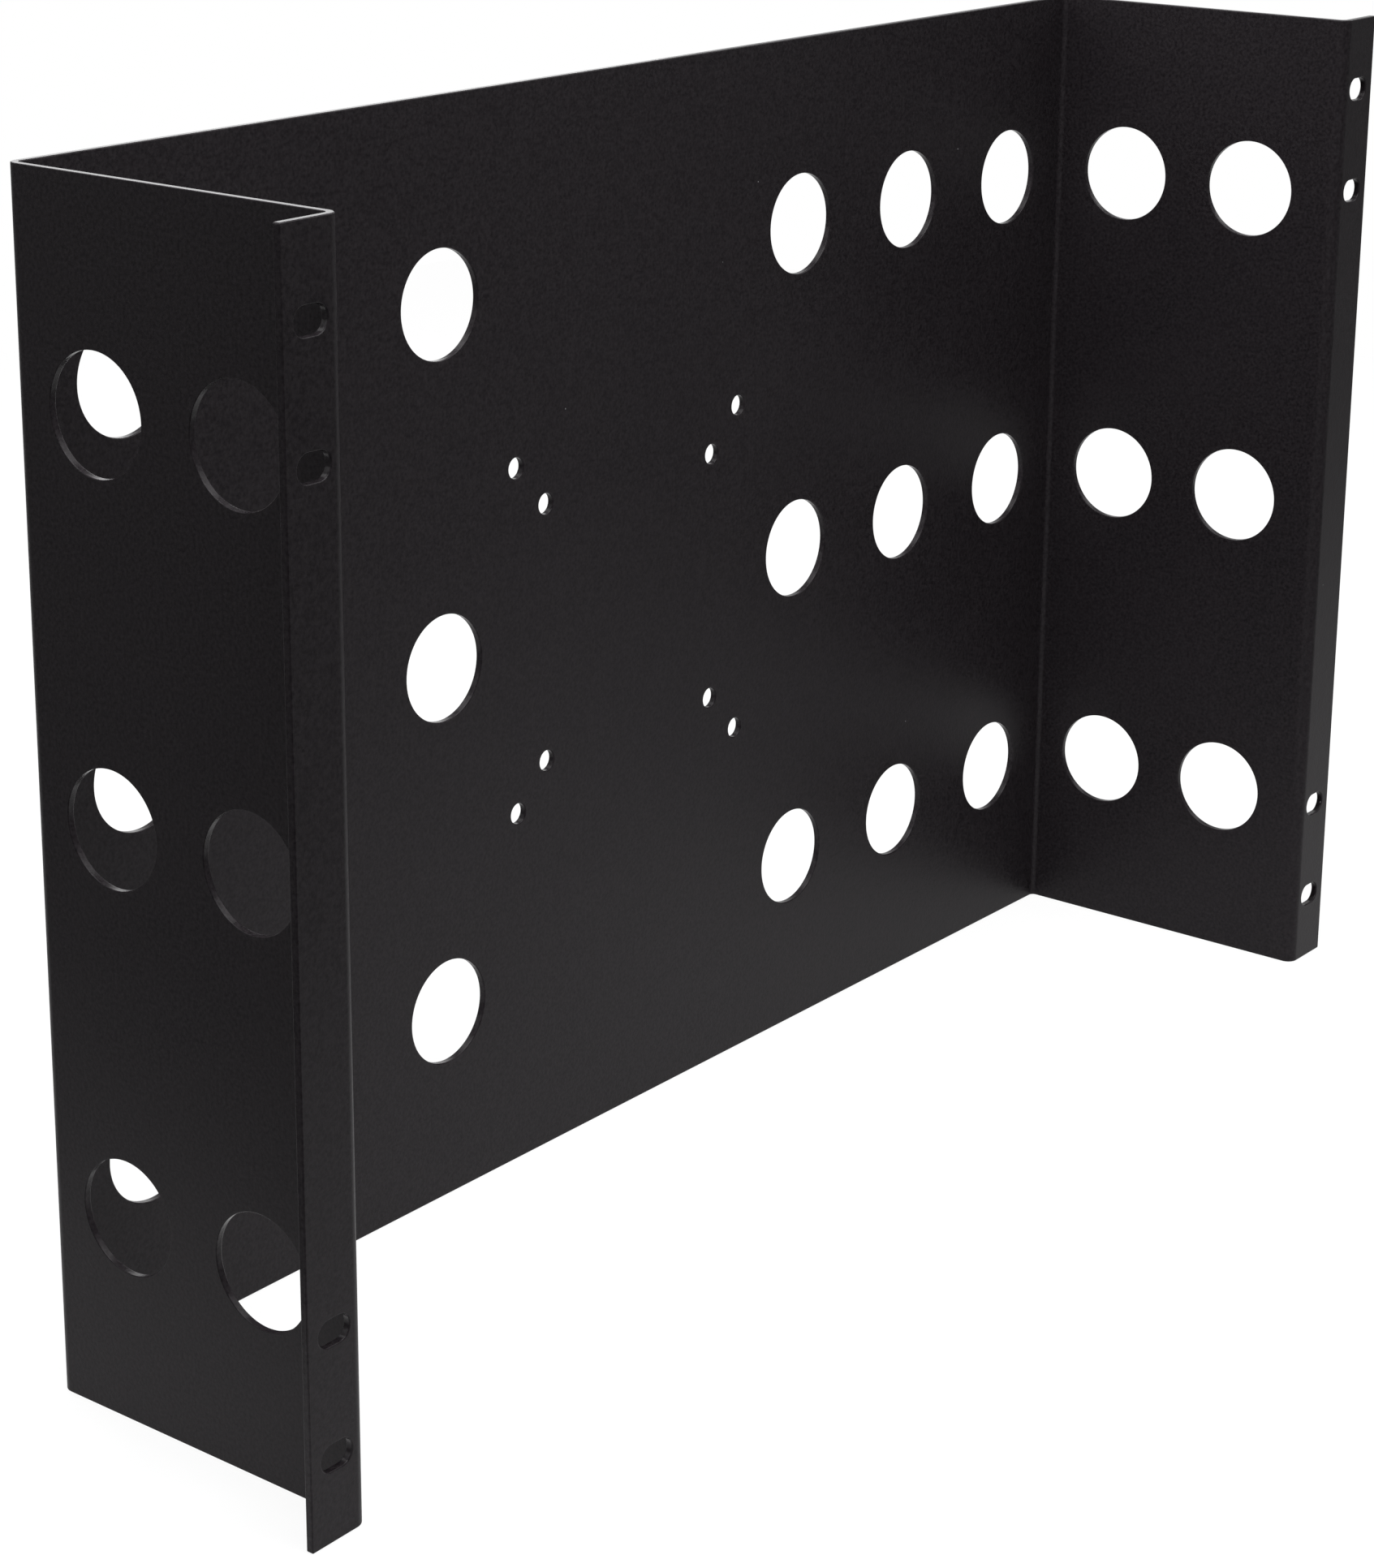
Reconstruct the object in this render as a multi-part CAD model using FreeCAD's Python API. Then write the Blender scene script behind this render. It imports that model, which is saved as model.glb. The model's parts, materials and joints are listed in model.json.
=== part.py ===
# Rack monitor mounting bracket: one steel sheet, pierced flat, then folded into a
# shallow open bay for a flat monitor, with a flange on each side for the rack's rails.
import FreeCAD
import Part
import math
import os

# Driving dimensions, in millimetres

# The sheet and its folds
sheet = 2.0
bend_radius = 1.5

# How far the panel is set back behind the flanges' front
bay_depth = 101.6

# Height in rack units, with the usual relief so that neighbours don't rub
rack_unit = 44.45
height_units = 7
height_relief = 0.8

# Rack slots in the flanges: two near the top and two near the bottom of each
rack_slot_spacing = 465.1
slot_length = 10.3
slot_width = 6.8
slot_pair_pitch = 31.75
slot_to_bend = 1.2
slot_to_edge = 3.6

# Round vents: rows up the height, columns outwards on the panel and forwards on the walls
vent_diameter = 30.0
vent_row_pitch = 100.0
panel_vent_first = 80.0
panel_vent_pitch = 56.0
wall_vent_first = 25.0
wall_vent_pitch = 45.5

# Two square patterns of screw holes for the monitor's back
monitor_pattern_large = 100.0
monitor_pattern_small = 75.0
screw_hole_diameter = 6.0

# Sizes that follow from the driving dimensions
height = height_units * rack_unit - height_relief
depth = bay_depth + sheet
fold_outside_radius = bend_radius + sheet
slot_centre = rack_slot_spacing / 2
flange_edge = slot_centre + slot_length / 2 + slot_to_edge
wall_outside = slot_centre - slot_length / 2 - slot_to_bend - bend_radius
wall_inside = wall_outside - sheet
hole_to_bend = 2 * sheet
overrun = sheet

# The origin is under the middle of the bracket, with the flanges towards -Y
flange_front = -depth / 2
flange_back = flange_front + sheet
panel_back = depth / 2
panel_front = panel_back - sheet
middle = height / 2

RIGHT = FreeCAD.Vector(1, 0, 0)
BACK = FreeCAD.Vector(0, 1, 0)
UP = FreeCAD.Vector(0, 0, 1)


def rounded_outline(corners):
    """Closed wire in the XY plane through (x, y, radius) corners; radius 0 leaves a sharp corner."""
    starts = []
    ends = []
    arcs = []
    for index, (x, y, radius) in enumerate(corners):
        here = FreeCAD.Vector(x, y, 0)
        before = FreeCAD.Vector(*corners[index - 1][:2], 0)
        after = FreeCAD.Vector(*corners[(index + 1) % len(corners)][:2], 0)
        towards_before = (before - here).normalize()
        towards_after = (after - here).normalize()
        half_angle = towards_before.getAngle(towards_after) / 2
        setback = radius / math.tan(half_angle)
        start = here + towards_before * setback
        end = here + towards_after * setback
        starts.append(start)
        ends.append(end)
        if radius == 0:
            arcs.append(None)
            continue
        bisector = (towards_before + towards_after).normalize()
        arc_middle = here + bisector * (radius / math.sin(half_angle) - radius)
        arcs.append(Part.Arc(start, arc_middle, end).toShape())
    edges = []
    for index, arc in enumerate(arcs):
        if arc is not None:
            edges.append(arc)
        edges.append(Part.LineSegment(ends[index], starts[(index + 1) % len(corners)]).toShape())
    return Part.Wire(edges)


def folded_sheet():
    """The sheet after folding: its plan section, drawn up to the full height."""
    corners = [
        (flange_edge, flange_front, 0),
        (flange_edge, flange_back, 0),
        (wall_outside, flange_back, bend_radius),
        (wall_outside, panel_back, fold_outside_radius),
        (-wall_outside, panel_back, fold_outside_radius),
        (-wall_outside, flange_back, bend_radius),
        (-flange_edge, flange_back, 0),
        (-flange_edge, flange_front, 0),
        (-wall_inside, flange_front, fold_outside_radius),
        (-wall_inside, panel_front, bend_radius),
        (wall_inside, panel_front, bend_radius),
        (wall_inside, flange_front, fold_outside_radius),
    ]
    return Part.Face(rounded_outline(corners)).extrude(UP * height)


def places(first, pitch, last):
    """Distances from first at the given pitch, as many as come no further than last."""
    count = int((last - first) // pitch) + 1
    return [first + pitch * step for step in range(count)]


def vent_rows():
    """Heights of the vent rows: one at mid height, the others in pairs above and below it."""
    furthest = middle - vent_diameter / 2 - hole_to_bend
    heights = [middle]
    for offset in places(vent_row_pitch, vent_row_pitch, furthest):
        heights += [middle - offset, middle + offset]
    return heights


def panel_hole(x, z, diameter):
    """Cutter for a round hole through the panel."""
    start = FreeCAD.Vector(x, panel_front - overrun, z)
    return Part.makeCylinder(diameter / 2, sheet + 2 * overrun, start, BACK)


def wall_hole(y, z, diameter):
    """Cutter for a round hole in line through both walls."""
    start = FreeCAD.Vector(-wall_outside - overrun, y, z)
    return Part.makeCylinder(diameter / 2, 2 * (wall_outside + overrun), start, RIGHT)


def rack_slot(x, z):
    """Cutter for a level slot with round ends through a flange."""
    radius = slot_width / 2
    reach = RIGHT * (slot_length / 2 - radius)
    centre = FreeCAD.Vector(x, flange_front - overrun, z)
    right = centre + reach
    left = centre - reach
    rise = UP * radius
    edges = [
        Part.LineSegment(left + rise, right + rise).toShape(),
        Part.Arc(right + rise, right + RIGHT * radius, right - rise).toShape(),
        Part.LineSegment(right - rise, left - rise).toShape(),
        Part.Arc(left - rise, left - RIGHT * radius, left + rise).toShape(),
    ]
    return Part.Face(Part.Wire(edges)).extrude(BACK * (sheet + 2 * overrun))


def vent_cutters():
    """Vents in mirrored columns on the panel, and in line through both walls."""
    panel_limit = wall_inside - bend_radius - hole_to_bend - vent_diameter / 2
    wall_limit = bay_depth - fold_outside_radius - hole_to_bend - vent_diameter / 2
    cutters = []
    for z in vent_rows():
        for x in places(panel_vent_first, panel_vent_pitch, panel_limit):
            cutters.append(panel_hole(x, z, vent_diameter))
            cutters.append(panel_hole(-x, z, vent_diameter))
        for forward in places(wall_vent_first, wall_vent_pitch, wall_limit):
            cutters.append(wall_hole(panel_front - forward, z, vent_diameter))
    return cutters


def screw_cutters():
    """Screw holes at the corners of both monitor patterns, about the panel's middle."""
    cutters = []
    for pattern in (monitor_pattern_large, monitor_pattern_small):
        for side in (-1, 1):
            for rise in (-1, 1):
                x = side * pattern / 2
                z = middle + rise * pattern / 2
                cutters.append(panel_hole(x, z, screw_hole_diameter))
    return cutters


def slot_cutters():
    """Rack slots: the outer ones half a rack unit from the ends, each with one nearer the middle."""
    outer = middle - (rack_unit - height_relief) / 2
    cutters = []
    for rise in (outer, outer - slot_pair_pitch):
        for side in (-1, 1):
            cutters.append(rack_slot(side * slot_centre, middle + rise))
            cutters.append(rack_slot(side * slot_centre, middle - rise))
    return cutters


bracket = folded_sheet().cut(vent_cutters() + screw_cutters() + slot_cutters())
bracket = bracket.Solids[0]

os.makedirs("parts", exist_ok=True)
bracket.exportStep("parts/mounting_bracket.step")
box = bracket.BoundBox
print("bracket", round(box.XLength, 2), "x", round(box.YLength, 2), "x", round(box.ZLength, 2), "mm")
print("walls", round(2 * wall_outside, 2), "mm apart outside, steel", round(bracket.Volume / 1000, 1), "cm3")
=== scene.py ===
# %% [markdown]
# # A folded rack bracket in black powder coat
# The real bracket starts as one flat blank of steel sheet. A punch opens the vents, the screw holes and
# the slots, a press folds the blank four times into a shallow bay with two flanges, and a black powder
# coat is baked on. This lesson takes the same order: sizes, blank, holes, folds, coat, and then light and
# camera.

# %% Load the measured model
import json
import math

import bpy
from mathutils import Matrix, Vector
from mathutils.geometry import delaunay_2d_cdt


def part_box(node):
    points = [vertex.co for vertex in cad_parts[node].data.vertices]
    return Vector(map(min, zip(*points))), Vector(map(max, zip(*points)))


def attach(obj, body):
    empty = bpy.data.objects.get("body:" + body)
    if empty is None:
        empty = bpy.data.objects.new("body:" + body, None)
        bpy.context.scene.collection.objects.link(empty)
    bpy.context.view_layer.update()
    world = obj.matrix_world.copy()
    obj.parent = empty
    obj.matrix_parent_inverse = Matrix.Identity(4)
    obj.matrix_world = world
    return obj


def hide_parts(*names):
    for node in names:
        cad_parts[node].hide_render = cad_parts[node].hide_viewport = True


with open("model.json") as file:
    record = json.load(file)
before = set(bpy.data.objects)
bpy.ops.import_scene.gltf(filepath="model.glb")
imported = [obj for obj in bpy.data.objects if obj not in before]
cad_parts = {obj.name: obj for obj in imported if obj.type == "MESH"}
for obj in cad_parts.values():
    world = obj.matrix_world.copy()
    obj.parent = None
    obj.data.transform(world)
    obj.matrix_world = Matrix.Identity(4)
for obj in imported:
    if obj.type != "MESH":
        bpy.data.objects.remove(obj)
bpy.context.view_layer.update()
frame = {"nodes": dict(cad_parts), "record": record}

# %% [markdown]
# ## Take the sizes from the model
# Every size below is read from the measured bracket, so the finished piece can't drift away from it.
# Typing the numbers in again would also work, but the first change to the bracket would leave them
# behind. The mounts give the screw patterns and slots, the openings give the vents, and the mesh gives
# the wall, the sheet and the folds.

# %% Read the sizes
MM = 0.001
NEAR = 0.01 * MM

record = frame["record"]
mounts = {mount["name"]: mount for mount in record["mounts"]}
openings = {opening["name"]: opening["box_m"] for opening in record["physics"]["openings"]}
low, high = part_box("mounting_bracket")
points = [vertex.co for vertex in frame["nodes"]["mounting_bracket"].data.vertices]

panel_front = mounts["monitor_seat"]["pos_m"][1]
sheet = high.y - panel_front
flange_back = low.y + sheet
wall_outside = max(point.x for point in points if point.y > 0)
wall_inside = wall_outside - sheet
bend_radius = min(point.y for point in points if abs(point.x - wall_outside) < NEAR) - flange_back
print("sheet", round(sheet / MM, 2), "mm, bends", round(bend_radius / MM, 2), "mm inside")

# %% [markdown]
# ## Unfold the sheet
# A bend keeps the length of the sheet's middle plane, so a quarter bend uses up a quarter circle of that
# plane. Walking from the panel's centre line to the right edge gives five runs: panel, bend, wall, bend,
# flange. The left half is the mirror image. Distances along the blank are counted from the centre line,
# and heights from the floor.

# %% Lengths along the blank
middle_radius = bend_radius + sheet / 2
quarter_turn = math.pi / 2
bend_run = middle_radius * quarter_turn
panel_run = wall_inside - bend_radius
wall_run = panel_front - flange_back - 2 * bend_radius
flange_run = high.x - wall_outside - bend_radius

RUNS = (
    (panel_run, 0),
    (bend_run, -quarter_turn),
    (wall_run, 0),
    (bend_run, quarter_turn),
    (flange_run, 0),
)
wall_start = panel_run + bend_run
flange_start = wall_start + wall_run + bend_run
blank_half = flange_start + flange_run
print("blank", round(2 * blank_half / MM, 1), "by", round(high.z / MM, 1), "mm")

# %% [markdown]
# ## Mark out the holes
# On the shop floor the holes are marked and punched before the folds, because a flat blank is easy to
# hold. Here each hole is a centre on the blank, a radius, and half the length of its straight middle,
# which is zero for a round hole. A vent's radius is read as the distance from its centre to the nearest
# point of the mesh.

# %% Holes on the flat blank
def on_wall(y):
    """Distance along the blank of a place on the wall."""
    return wall_start + panel_front - bend_radius - y


def on_flange(x):
    """Distance along the blank of a place on the flange."""
    return flange_start + x - wall_outside - bend_radius


def box_middle(name):
    """Middle of an opening's box."""
    return (Vector(openings[name][0]) + Vector(openings[name][1])) / 2


def pattern_corners(mount):
    """The four places of a pattern, as distances across and heights."""
    across = mount["dims"]["spacing_x_mm"] * MM / 2
    rise = mount["dims"]["spacing_y_mm"] * MM / 2
    _, _, centre = mount["pos_m"]
    return [(side * across, centre + up * rise) for side in (-1, 1) for up in (-1, 1)]


panel_vents = [box_middle(name) for name in openings if name.startswith("panel_vent")]
wall_vents = [box_middle(name) for name in openings if name.startswith("wall_vent")]
vent_x, _, vent_z = panel_vents[0]
panel_points = [point for point in points if point.y > panel_front - NEAR]
vent_radius = min(math.hypot(point.x - vent_x, point.z - vent_z) for point in panel_points)

holes = [(vent.x, vent.z, vent_radius, 0) for vent in panel_vents]
for vent in wall_vents:
    holes += [(side * on_wall(vent.y), vent.z, vent_radius, 0) for side in (-1, 1)]
for name in ("monitor_pattern_large", "monitor_pattern_small"):
    screw_radius = mounts[name]["dims"]["hole_r_mm"] * MM
    holes += [(along, up, screw_radius, 0) for along, up in pattern_corners(mounts[name])]
for name in ("rack_slots_outer", "rack_slots_inner"):
    slot_radius = mounts[name]["dims"]["hole_r_mm"] * MM
    straight = mounts[name]["dims"]["slot_length_mm"] * MM / 2 - slot_radius
    for across, up in pattern_corners(mounts[name]):
        holes.append((math.copysign(on_flange(abs(across)), across), up, slot_radius, straight))
print(len(holes), "holes, vents of", round(2 * vent_radius / MM, 2), "mm")

# %% [markdown]
# ## Draw the outlines
# Each outline is a ring of points that walks with the steel on its left: the blank's edge runs one way
# and the holes run the other way. Every point also keeps the direction that leads into the steel. That
# direction later moves the ring inwards, so that the edge can be rounded without any modifier guessing
# where it is.

# %% Rings of points on the blank
ARC_STEP = 1.0 * MM
SMALLEST_ARC = 20
BEND_STRIPS = 12
corner_radius = 0.5 * MM

blank_points = []
inward = []
rings = []


def add_ring(places):
    """Adds one ring of (along, up, inward along, inward up) places."""
    first = len(blank_points)
    for along, up, inward_along, inward_up in places:
        blank_points.append(Vector((along, up)))
        inward.append(Vector((inward_along, inward_up)))
    rings.append(list(range(first, len(blank_points))))


def arc(centre_along, centre_up, radius, start, turn, into_steel):
    """Places on an arc. into_steel is 1 where the steel lies outside the arc, and -1 inside it."""
    steps = max(SMALLEST_ARC, round(radius * abs(turn) / ARC_STEP))
    for step in range(steps + 1):
        angle = start + turn * step / steps
        away = Vector((math.cos(angle), math.sin(angle)))
        point = Vector((centre_along, centre_up)) + radius * away
        yield *point, *(into_steel * away)


def hole_places(along, up, radius, straight):
    """A round hole, or a slot whose round ends lie apart. The ring runs clockwise."""
    right = list(arc(along + straight, up, radius, quarter_turn, -math.pi, 1))
    left = list(arc(along - straight, up, radius, -quarter_turn, -math.pi, 1))
    return right + left if straight else right[:-1] + left[:-1]


def bend_stations():
    """Distances along the blank where the fold needs a line, from left to right."""
    starts = (panel_run, wall_start + wall_run)
    right = [start + bend_run * step / BEND_STRIPS for start in starts for step in range(BEND_STRIPS + 1)]
    return [-station for station in reversed(right)] + right


def blank_places():
    """The blank's edge, counter-clockwise, with slightly rounded corners and points at every fold line."""
    right, top = blank_half - corner_radius, high.z - corner_radius
    stations = bend_stations()
    bottom_edge = [(station, low.z, 0, 1) for station in stations]
    top_edge = [(station, high.z, 0, -1) for station in reversed(stations)]
    bottom = low.z + corner_radius
    return (
        bottom_edge
        + list(arc(right, bottom, corner_radius, -quarter_turn, quarter_turn, -1))
        + list(arc(right, top, corner_radius, 0, quarter_turn, -1))
        + top_edge
        + list(arc(-right, top, corner_radius, quarter_turn, quarter_turn, -1))
        + list(arc(-right, bottom, corner_radius, math.pi, quarter_turn, -1))
    )


add_ring(blank_places())
for hole in holes:
    add_ring(hole_places(*hole))
print(len(rings), "rings,", len(blank_points), "points")

# %% [markdown]
# ## Fill the flat blank with triangles
# A constrained triangulation joins the rings without crossing any of them, and also keeps the fold lines
# as edges, so that no triangle bridges a bend. It fills the holes as well. A triangle inside a hole has
# all three corners on that hole's ring, which is an easy test, so those triangles are taken out again, as
# the punch does.

# %% Triangles between the rings
lines = [(a, b) for ring in rings for a, b in zip(ring, ring[1:] + ring[:1])]
fold_lines = len(bend_stations())
corner_points = len(rings[0]) - 2 * fold_lines
first_top = fold_lines + corner_points // 2
lines += [(index, first_top + fold_lines - 1 - index) for index in range(fold_lines)]

ring_of = {index: number for number, ring in enumerate(rings) for index in ring}
_, _, triangles, same, _, _ = delaunay_2d_cdt(blank_points, lines, [], 1, NEAR / 100)
triangles = [[same[corner][0] for corner in triangle] for triangle in triangles]


def is_steel(triangle):
    """False for a triangle that lies inside one hole."""
    first, second, third = (ring_of[corner] for corner in triangle)
    return first == 0 or not first == second == third


triangles = [triangle for triangle in triangles if is_steel(triangle)]
print(len(triangles), "triangles on each face of the sheet")

# %% [markdown]
# ## Fold the blank
# A press brake folds the real blank along four lines. A bend modifier could do it too, but it turns one
# way only and has to be set up four times. Here the fold is a formula: walk along the runs and turn where
# they turn. At each place it gives the sheet's middle plane, the direction along the sheet and the
# direction out of its front.

# %% The fold as a formula
def fold(along):
    """Middle-plane point, direction along the sheet and front direction at a distance along the blank."""
    side = math.copysign(1, along)
    left = abs(along)
    x, y, heading = 0, (panel_front + high.y) / 2, 0
    for length, turn in RUNS:
        step = min(left, length)
        if turn:
            radius = length / turn
            ahead = heading + step / radius
            x += radius * (math.sin(ahead) - math.sin(heading))
            y -= radius * (math.cos(ahead) - math.cos(heading))
            heading = ahead
        else:
            x += step * math.cos(heading)
            y += step * math.sin(heading)
        left -= step
        if left <= 0:
            break
    tangent = Vector((math.cos(heading), side * math.sin(heading), 0))
    front = Vector((side * math.sin(heading), -math.cos(heading), 0))
    return Vector((side * x, y, 0)), tangent, front


UP = Vector((0, 0, 1))
edge_middle, _, _ = fold(blank_half)
print("folded edge off by", round(abs(edge_middle.x - high.x) / MM, 4), "mm")

# %% [markdown]
# ## Round the cut edges
# A coated edge is never sharp, and it is its small radius that catches the light. A bevel modifier would
# have to find every edge by its angle. The rings already know where the edges are, so each ring is
# repeated in rows that run round the edge, from the front face to the back face. The punch enters from
# the front and draws that edge in.

# %% Rows of the rounded edge
FRONT_ROUNDING = 0.4 * MM
BACK_ROUNDING = 0.25 * MM
ROUND_STEPS = 5


def edge_rows():
    """(inset from the outline, place through the sheet, front share and outward share of the normal)."""
    rows = []
    for rounding, face in ((FRONT_ROUNDING, 1), (BACK_ROUNDING, -1)):
        quarter = []
        for step in range(ROUND_STEPS + 1):
            angle = quarter_turn * step / ROUND_STEPS
            inset = rounding * (1 - math.sin(angle))
            through = face * (sheet / 2 - rounding * (1 - math.cos(angle)))
            quarter.append((inset, through, face * math.cos(angle), math.sin(angle)))
        rows += quarter if face > 0 else quarter[::-1]
    return rows


print(len(edge_rows()), "rows round each edge")

# %% [markdown]
# ## Build the coated sheet
# Both faces are the same triangles, on the first and the last row, and quads join the rows in between.
# Normals come from the formula as well, so flat faces shade flat and the edges shade round. Each point
# also keeps how far it faces out of the edge, because the coat is smoother there. The finished piece
# stands in for the measured one.

# %% Mesh of the folded sheet
def folded_sheet():
    """Points, faces, normals and edge shares of the whole folded sheet."""
    rows = edge_rows()
    count = len(blank_points)
    places = []
    normals = []
    edge_share = []
    for inset, through, front_share, outward_share in rows:
        for flat, into in zip(blank_points, inward):
            at = flat + inset * into
            middle, tangent, front = fold(at.x)
            places.append(middle + at.y * UP + through * front)
            normals.append(front_share * front - outward_share * (into.x * tangent + into.y * UP))
            edge_share.append(outward_share)
    last = (len(rows) - 1) * count
    faces = [tuple(triangle) for triangle in triangles]
    faces += [tuple(last + corner for corner in reversed(triangle)) for triangle in triangles]
    for ring in rings:
        for a, b in zip(ring, ring[1:] + ring[:1]):
            for row in range(len(rows) - 1):
                near, far = row * count, (row + 1) * count
                faces.append((near + a, far + a, far + b, near + b))
    return places, faces, normals, edge_share


places, faces, normals, edge_share = folded_sheet()
mesh = bpy.data.meshes.new("coated_bracket")
mesh.from_pydata(places, [], faces)
mesh.polygons.foreach_set("use_smooth", [True] * len(mesh.polygons))
mesh.normals_split_custom_set_from_vertices(normals)
share = mesh.attributes.new("edge_share", "FLOAT", "POINT")
share.data.foreach_set("value", edge_share)
bracket = bpy.data.objects.new("coated_bracket", mesh)
bpy.context.scene.collection.objects.link(bracket)
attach(bracket, "root")
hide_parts("mounting_bracket")
print("bracket mesh:", len(mesh.vertices), "points,", len(mesh.polygons), "faces")

# %% [markdown]
# ## The powder coat's grain
# Powder is sprayed on dry and melts into a skin. It isn't quite smooth: fine grains stand up a few
# hundredths of a millimetre, and under them the skin has slow waves. Both are far below the size of any
# edge, so they are bump and tone and not mesh. An image of a coat would do it too, but noise has no seam
# at the folds and no end. Each effect is a node group with named sockets, so that its values can be set
# where it is used.

# %% Helpers for node groups
FLOAT, VECTOR = "NodeSocketFloat", "NodeSocketVector"


def new_group(name, inputs, outputs):
    """Empty shader node group with (name, socket type, default) inputs and (name, socket type) outputs."""
    group = bpy.data.node_groups.new(name, "ShaderNodeTree")
    for socket_name, socket_type, default in inputs:
        socket = group.interface.new_socket(name=socket_name, in_out="INPUT", socket_type=socket_type)
        socket.default_value = default
    for socket_name, socket_type in outputs:
        group.interface.new_socket(name=socket_name, in_out="OUTPUT", socket_type=socket_type)
    return group, group.nodes.new("NodeGroupInput"), group.nodes.new("NodeGroupOutput")


def feed(tree, value, socket):
    """Links an output to a socket, or sets the socket to a plain value."""
    if isinstance(value, bpy.types.NodeSocket):
        tree.links.new(value, socket)
    else:
        socket.default_value = value


def add_node(tree, kind, settings=None, **values):
    """Node of a kind with settings on the node itself, and values or links on its inputs, by name."""
    node = tree.nodes.new(kind)
    for key, value in (settings or {}).items():
        setattr(node, key, value)
    for key, value in values.items():
        feed(tree, value, node.inputs[key.replace("_", " ")])
    return node


def math_node(tree, operation, first, second):
    """Math node between two outputs or numbers; gives its output."""
    node = add_node(tree, "ShaderNodeMath", {"operation": operation})
    feed(tree, first, node.inputs[0])
    feed(tree, second, node.inputs[1])
    return node.outputs["Value"]


def mix_colours(tree, share, first, second):
    """Colour between two colours or outputs, by a share from 0 to 1; gives its output."""
    node = add_node(tree, "ShaderNodeMix", {"data_type": "RGBA"})
    feed(tree, share, node.inputs[0])
    feed(tree, first, node.inputs[6])
    feed(tree, second, node.inputs[7])
    return node.outputs[2]


# %% Grain: fine bumps over slow waves
GRAIN_FOOT, GRAIN_TOP = 0.3, 0.7


def grain_group():
    """Height of the coat's skin, and how far up its grains a place lies, from 0 to 1."""
    inputs = [
        ("Place", VECTOR, (0, 0, 0)),
        ("Grains per m", FLOAT, 1),
        ("Waves per m", FLOAT, 1),
        ("Wave share", FLOAT, 0),
    ]
    group, source, result = new_group("powder_grain", inputs, [("Height", FLOAT), ("Tops", FLOAT)])
    place = source.outputs["Place"]
    fine, slow = source.outputs["Grains per m"], source.outputs["Waves per m"]
    grains = add_node(group, "ShaderNodeTexNoise", Vector=place, Scale=fine, Detail=2.0, Roughness=0.6)
    waves = add_node(group, "ShaderNodeTexNoise", Vector=place, Scale=slow, Detail=1.0)
    waved = math_node(group, "MULTIPLY", waves.outputs["Fac"], source.outputs["Wave share"])
    height = math_node(group, "ADD", grains.outputs["Fac"], waved)
    tops = add_node(group, "ShaderNodeMapRange", Value=grains.outputs["Fac"])
    tops.inputs["From Min"].default_value = GRAIN_FOOT
    tops.inputs["From Max"].default_value = GRAIN_TOP
    feed(group, height, result.inputs["Height"])
    feed(group, tops.outputs["Result"], result.inputs["Tops"])
    return group


powder_grain = grain_group()
print("group", powder_grain.name, "with", len(powder_grain.nodes), "nodes")

# %% [markdown]
# ## Dust
# A black coat shows every speck of dust, and a few can be seen on the real bracket. They could be tiny
# flakes, but they are too small to have a shape. So the dust is a cell pattern with most of its cells
# switched off: a speck sits in the middle of a cell, and the cell's own random colour decides whether it
# shows.

# %% Dust specks
def dust_group():
    """Mask of rare specks of a given radius."""
    inputs = [
        ("Place", VECTOR, (0, 0, 0)),
        ("Cells per m", FLOAT, 1),
        ("Radius", FLOAT, 1),
        ("Shown", FLOAT, 0),
    ]
    group, source, result = new_group("dust_specks", inputs, [("Mask", FLOAT)])
    scale = source.outputs["Cells per m"]
    cells = add_node(group, "ShaderNodeTexVoronoi", Vector=source.outputs["Place"], Scale=scale)
    reach = math_node(group, "MULTIPLY", source.outputs["Radius"], scale)
    speck = math_node(group, "LESS_THAN", cells.outputs["Distance"], reach)
    chance = add_node(group, "ShaderNodeSeparateColor", Color=cells.outputs["Color"])
    shown = math_node(group, "LESS_THAN", chance.outputs["Red"], source.outputs["Shown"])
    feed(group, math_node(group, "MULTIPLY", speck, shown), result.inputs["Mask"])
    return group


dust_specks = dust_group()
print("group", dust_specks.name, "with", len(dust_specks.nodes), "nodes")

# %% [markdown]
# ## The coat as one material
# The coat is nearly black with a trace of warmth, and dull, with a weak sheen that grows at a flat angle.
# Its tone follows the grains and drifts slowly from place to place. Where it is drawn thin over an edge
# it has flowed smooth, so the cut edges are the shiniest places. One shader carries all of it, because
# the coat is one layer of one stuff.

# %% Black powder coat
COAT_COLOUR = (0.0054, 0.0042, 0.0052, 1)
COAT_LIGHTER = (0.0175, 0.0150, 0.0168, 1)
DRIFT_SHARE = 0.2
DUST_COLOUR = (0.16, 0.16, 0.165, 1)
COAT_SPECULAR = 0.11
FACE_ROUGHNESS = (0.38, 0.50)
EDGE_ROUGHNESS = 0.25
EDGE_BLEND = 0.35
GRAINS_PER_M = 1050.0
WAVES_PER_M = 260.0
WAVE_SHARE = 0.6
DRIFTS_PER_M = 14.0
DUST_CELLS_PER_M = 240.0
DUST_RADIUS = 0.22 * MM
DUST_SHOWN = 0.02
BUMP_STRENGTH = 0.25
BUMP_HEIGHT = 0.2 * MM


def place_group(tree, group, **values):
    """Puts a group into a material, and sets or links its inputs."""
    node = tree.nodes.new("ShaderNodeGroup")
    node.node_tree = group
    for key, value in values.items():
        feed(tree, value, node.inputs[key.replace("_", " ")])
    return node


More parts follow.
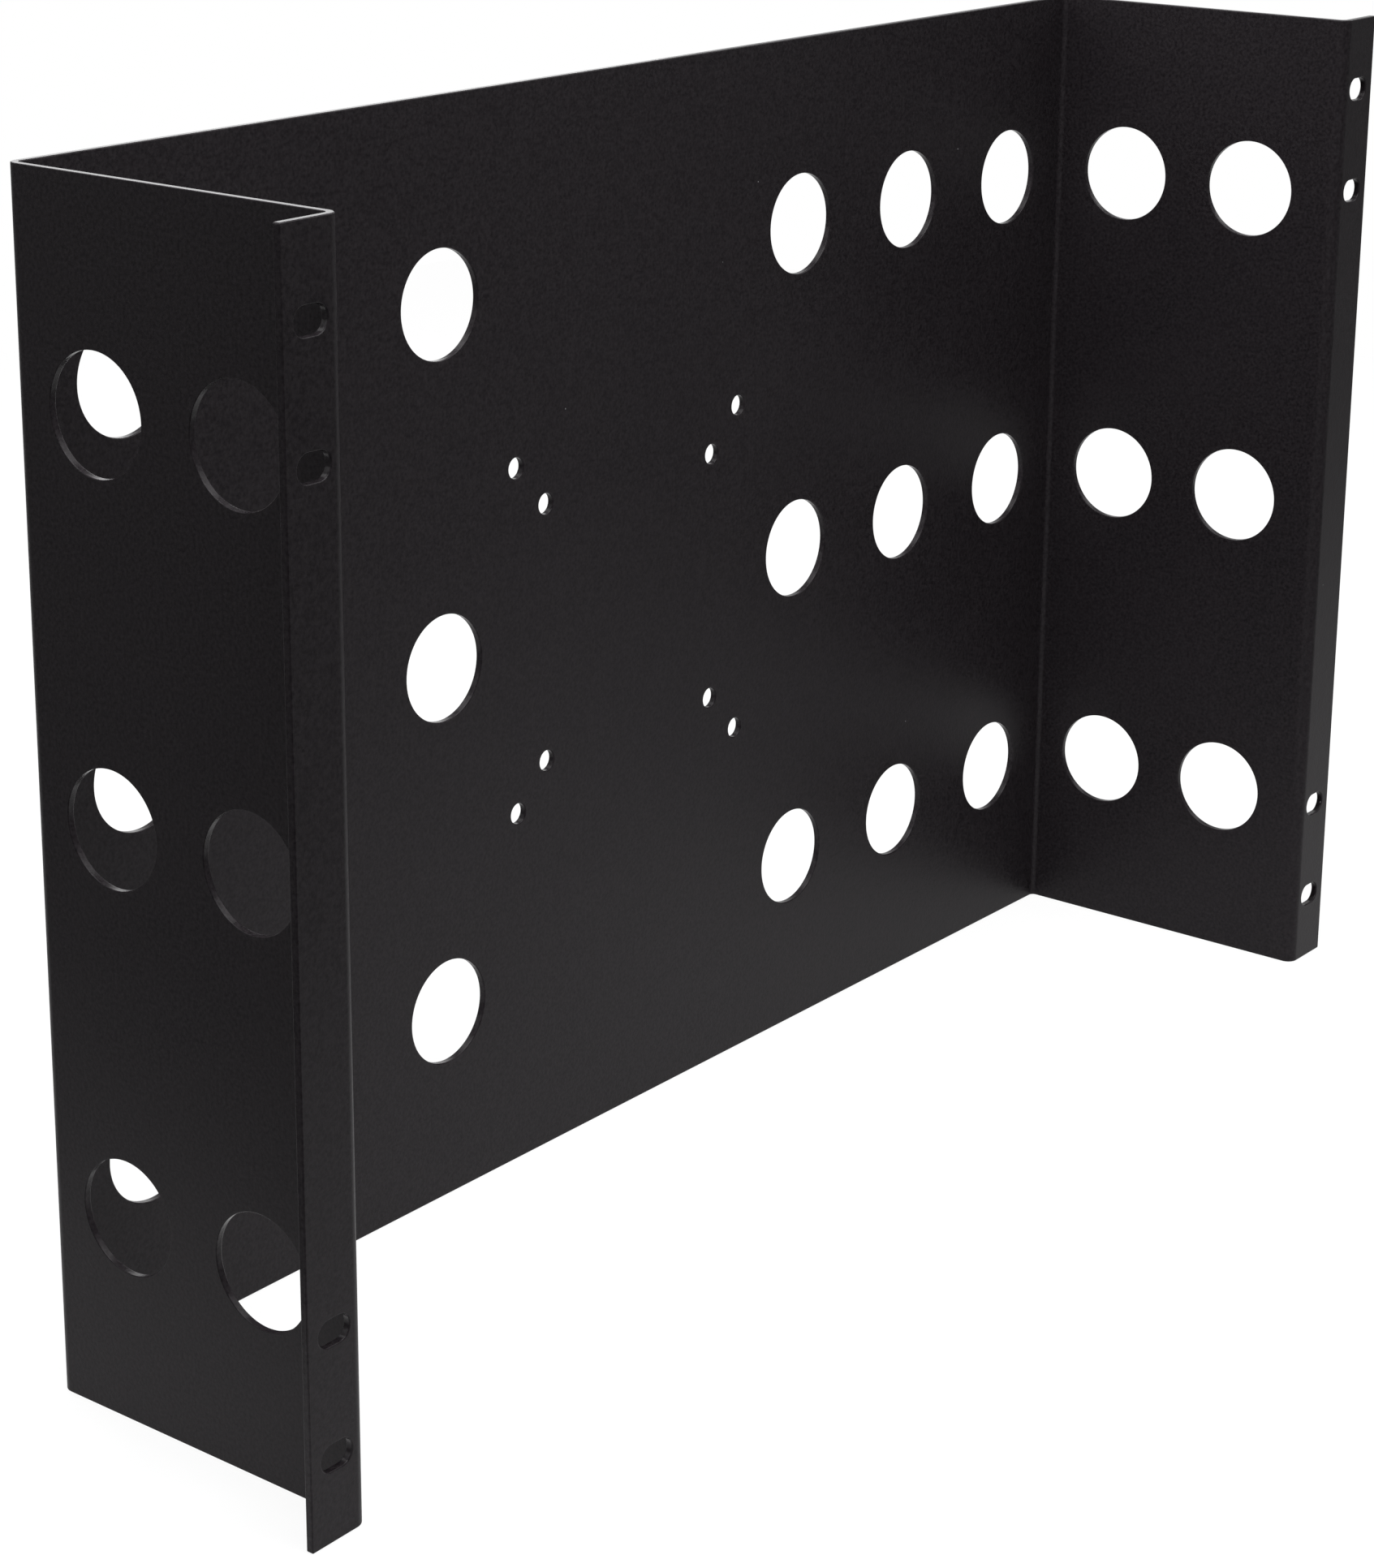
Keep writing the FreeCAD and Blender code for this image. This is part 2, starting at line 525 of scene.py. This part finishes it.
def powder_coat():
    """Black powder coat: drift in tone, dust, grain in roughness and bump, smoother on the edges."""
    material = bpy.data.materials.new("black_powder_coat")
    material.use_nodes = True
    tree = material.node_tree
    shader = tree.nodes["Principled BSDF"]
    shader.inputs["Specular IOR Level"].default_value = COAT_SPECULAR
    place = add_node(tree, "ShaderNodeTexCoord").outputs["Object"]
    edge = add_node(tree, "ShaderNodeAttribute", {"attribute_name": "edge_share"}).outputs["Fac"]

    grain = place_group(
        tree,
        powder_grain,
        Place=place,
        Grains_per_m=GRAINS_PER_M,
        Waves_per_m=WAVES_PER_M,
        Wave_share=WAVE_SHARE,
    )
    drift = add_node(tree, "ShaderNodeTexNoise", Vector=place, Scale=DRIFTS_PER_M, Detail=3.0)
    drifted = math_node(tree, "MULTIPLY", drift.outputs["Fac"], DRIFT_SHARE)
    grained = math_node(tree, "MULTIPLY", grain.outputs["Tops"], 1 - DRIFT_SHARE)
    tone = mix_colours(tree, math_node(tree, "ADD", drifted, grained), COAT_COLOUR, COAT_LIGHTER)
    dust = place_group(
        tree,
        dust_specks,
        Place=place,
        Cells_per_m=DUST_CELLS_PER_M,
        Radius=DUST_RADIUS,
        Shown=DUST_SHOWN,
    )
    feed(tree, mix_colours(tree, dust.outputs["Mask"], tone, DUST_COLOUR), shader.inputs["Base Color"])

    low_rough, high_rough = FACE_ROUGHNESS
    tops = grain.outputs["Tops"]
    rough = add_node(tree, "ShaderNodeMapRange", Value=tops, To_Min=low_rough, To_Max=high_rough)
    smoother = add_node(
        tree,
        "ShaderNodeMapRange",
        Value=edge,
        From_Max=EDGE_BLEND,
        To_Min=rough.outputs["Result"],
        To_Max=EDGE_ROUGHNESS,
    )
    feed(tree, smoother.outputs["Result"], shader.inputs["Roughness"])
    skin = grain.outputs["Height"]
    bump = add_node(tree, "ShaderNodeBump", Strength=BUMP_STRENGTH, Distance=BUMP_HEIGHT, Height=skin)
    feed(tree, bump.outputs["Normal"], shader.inputs["Normal"])
    return material


mesh.materials.append(powder_coat())
print("coat:", mesh.materials[0].name)

# %% [markdown]
# ## A plain floor
# A black part is read almost only by what it mirrors. The bracket stands near the corner of a plain white
# floor sheet. Each face mirrors the sheet at its foot, and higher up it mirrors the grey room beyond the
# sheet's edge and stays black. An endless white floor would lighten the faces all the way up, and the
# real ones darken. Most of the sheet's light is plain white wherever it is seen or mirrored, and the rest
# takes the bracket's shadow.

# %% White floor sheet
FLOOR_WHITE = (0.95, 0.95, 0.95, 1)
FLOOR_GLOW = 0.86
FLOOR_NEAR_CORNER = (-0.32, -0.25)
FLOOR_FAR_CORNER = (1.1, 1.0)
FLOOR_DROP = 0.1 * MM


def floor_material():
    """White that is mostly plain where it is seen or mirrored, with the shadow kept."""
    material = bpy.data.materials.new("white_floor")
    material.use_nodes = True
    tree = material.node_tree
    shader = tree.nodes["Principled BSDF"]
    shader.inputs["Base Color"].default_value = FLOOR_WHITE
    shader.inputs["Roughness"].default_value = 1.0
    shader.inputs["Specular IOR Level"].default_value = 0.0
    plain = add_node(tree, "ShaderNodeEmission", Color=(1, 1, 1, 1), Strength=1.0)
    ray = add_node(tree, "ShaderNodeLightPath").outputs
    seen = math_node(tree, "ADD", ray["Is Camera Ray"], ray["Is Glossy Ray"])
    seen = math_node(tree, "MINIMUM", math_node(tree, "ADD", seen, ray["Is Transmission Ray"]), 1.0)
    both = add_node(tree, "ShaderNodeMixShader", Fac=math_node(tree, "MULTIPLY", seen, FLOOR_GLOW))
    feed(tree, shader.outputs["BSDF"], both.inputs[1])
    feed(tree, plain.outputs["Emission"], both.inputs[2])
    feed(tree, both.outputs["Shader"], tree.nodes["Material Output"].inputs["Surface"])
    return material


def floor_sheet():
    """A level rectangle just under the bracket."""
    (left, front), (right, back) = FLOOR_NEAR_CORNER, FLOOR_FAR_CORNER
    level = low.z - FLOOR_DROP
    corners = [(left, front, level), (right, front, level), (right, back, level), (left, back, level)]
    floor_mesh = bpy.data.meshes.new("floor")
    floor_mesh.from_pydata(corners, [], [(0, 1, 2, 3)])
    floor_mesh.materials.append(floor_material())
    floor = bpy.data.objects.new("floor", floor_mesh)
    bpy.context.scene.collection.objects.link(floor)
    return floor


floor_sheet()
print("floor from", FLOOR_NEAR_CORNER, "to", FLOOR_FAR_CORNER, "m")

# %% [markdown]
# ## The room
# The room around the floor is an even grey, with a white wall behind the bracket. The wall gives the
# picture its white ground, and the upward edges of the sheet, which are seen at a flat angle, mirror it
# as a thin bright line. A real wall could be built, but only its brightness matters here, so the world's
# colour turns white in its direction.

# %% Grey room with a white wall
ROOM_GREY = (0.3, 0.3, 0.3, 1)
WALL_WHITE = (1.0, 1.0, 1.0, 1)
WALL_DIRECTION = (0.72, 0.69, 0)
WALL_FADE = (0.70, 0.92)

world = bpy.data.worlds.new("room")
bpy.context.scene.world = world
world.use_nodes = True
room = world.node_tree
towards_wall = add_node(room, "ShaderNodeVectorMath", {"operation": "DOT_PRODUCT"})
feed(room, add_node(room, "ShaderNodeTexCoord").outputs["Generated"], towards_wall.inputs[0])
feed(room, WALL_DIRECTION, towards_wall.inputs[1])
wall_share = add_node(
    room,
    "ShaderNodeMapRange",
    {"interpolation_type": "SMOOTHSTEP"},
    Value=towards_wall.outputs["Value"],
    From_Min=WALL_FADE[0],
    From_Max=WALL_FADE[1],
).outputs["Result"]
background = room.nodes["Background"]
feed(room, mix_colours(room, wall_share, ROOM_GREY, WALL_WHITE), background.inputs["Color"])
background.inputs["Strength"].default_value = 1.0
print("room grey", ROOM_GREY[0], "with a white wall behind the bracket")

# %% [markdown]
# ## Lamps
# Soft lamps have no hard glints, so each one is a square panel. The overhead one lights the inside of the
# bay. The left one stands behind the left flange and reaches the wall that shows through the slots. The
# right and the back one are mirrored in the bores of the vents, as thin bright bands. The rim lamp stands
# low behind the bracket, where the top edges mirror it. Their powers are set so that a grey card held
# before the panel looks about as grey as it is.

# %% Softboxes
aim = (low + high) / 2


def softbox(name, place, size, power):
    """Square area lamp that faces the bracket's middle."""
    lamp = bpy.data.lights.new(name, "AREA")
    lamp.shape = "SQUARE"
    lamp.size = size
    lamp.energy = power
    holder = bpy.data.objects.new(name, lamp)
    holder.location = place
    holder.rotation_euler = (aim - Vector(place)).to_track_quat("-Z", "Y").to_euler()
    bpy.context.scene.collection.objects.link(holder)
    print("lamp", name, power, "W")


softbox("overhead_softbox", (-0.17, -0.18, 1.05), 0.8, 16)
softbox("left_softbox", (-1.4, 0.75, 1.0), 1.0, 6)
softbox("right_softbox", (1.25, -0.45, 1.45), 1.3, 12)
softbox("back_softbox", (-0.15, 0.9, 1.35), 0.8, 6)
softbox("rim_softbox", (1.3, 1.55, 0.7), 0.8, 3)

# %% [markdown]
# ## Camera
# The camera stands where it would have stood for the photograph: to the left of the bay, above it,
# looking down a little. Its place and turn were fitted to the corners and holes that show there. Turning
# it by eye would do for a first look, but a vent's outline gives away an error of a degree. The lens is
# shifted to frame the bracket.

# %% Camera at the photograph's viewing angle
IMAGE_HEIGHT = 1932
SENSOR = 36.0
focal_pixels = 4299.2
camera_place = Vector((-749.89, -556.58, 436.98)) * MM
yaw, pitch, roll = 0.9075, 0.2817, 0.0077

camera_data = bpy.data.cameras.new("camera")
camera_data.sensor_width = SENSOR
camera_data.lens = focal_pixels * SENSOR / IMAGE_HEIGHT
camera_data.shift_y = -0.12
camera = bpy.data.objects.new("camera", camera_data)
ahead = Vector((math.sin(yaw) * math.cos(pitch), math.cos(yaw) * math.cos(pitch), -math.sin(pitch)))
level_right = Vector((math.cos(yaw), -math.sin(yaw), 0))
level_up = level_right.cross(ahead)
right = math.cos(roll) * level_right + math.sin(roll) * level_up
upward = right.cross(ahead)
turn = Matrix((right, upward, -ahead)).transposed()
camera.matrix_world = Matrix.Translation(camera_place) @ turn.to_4x4()
bpy.context.scene.collection.objects.link(camera)
bpy.context.scene.camera = camera
bpy.context.scene.view_settings.view_transform = "Standard"
print("lens", round(camera_data.lens, 1), "mm")
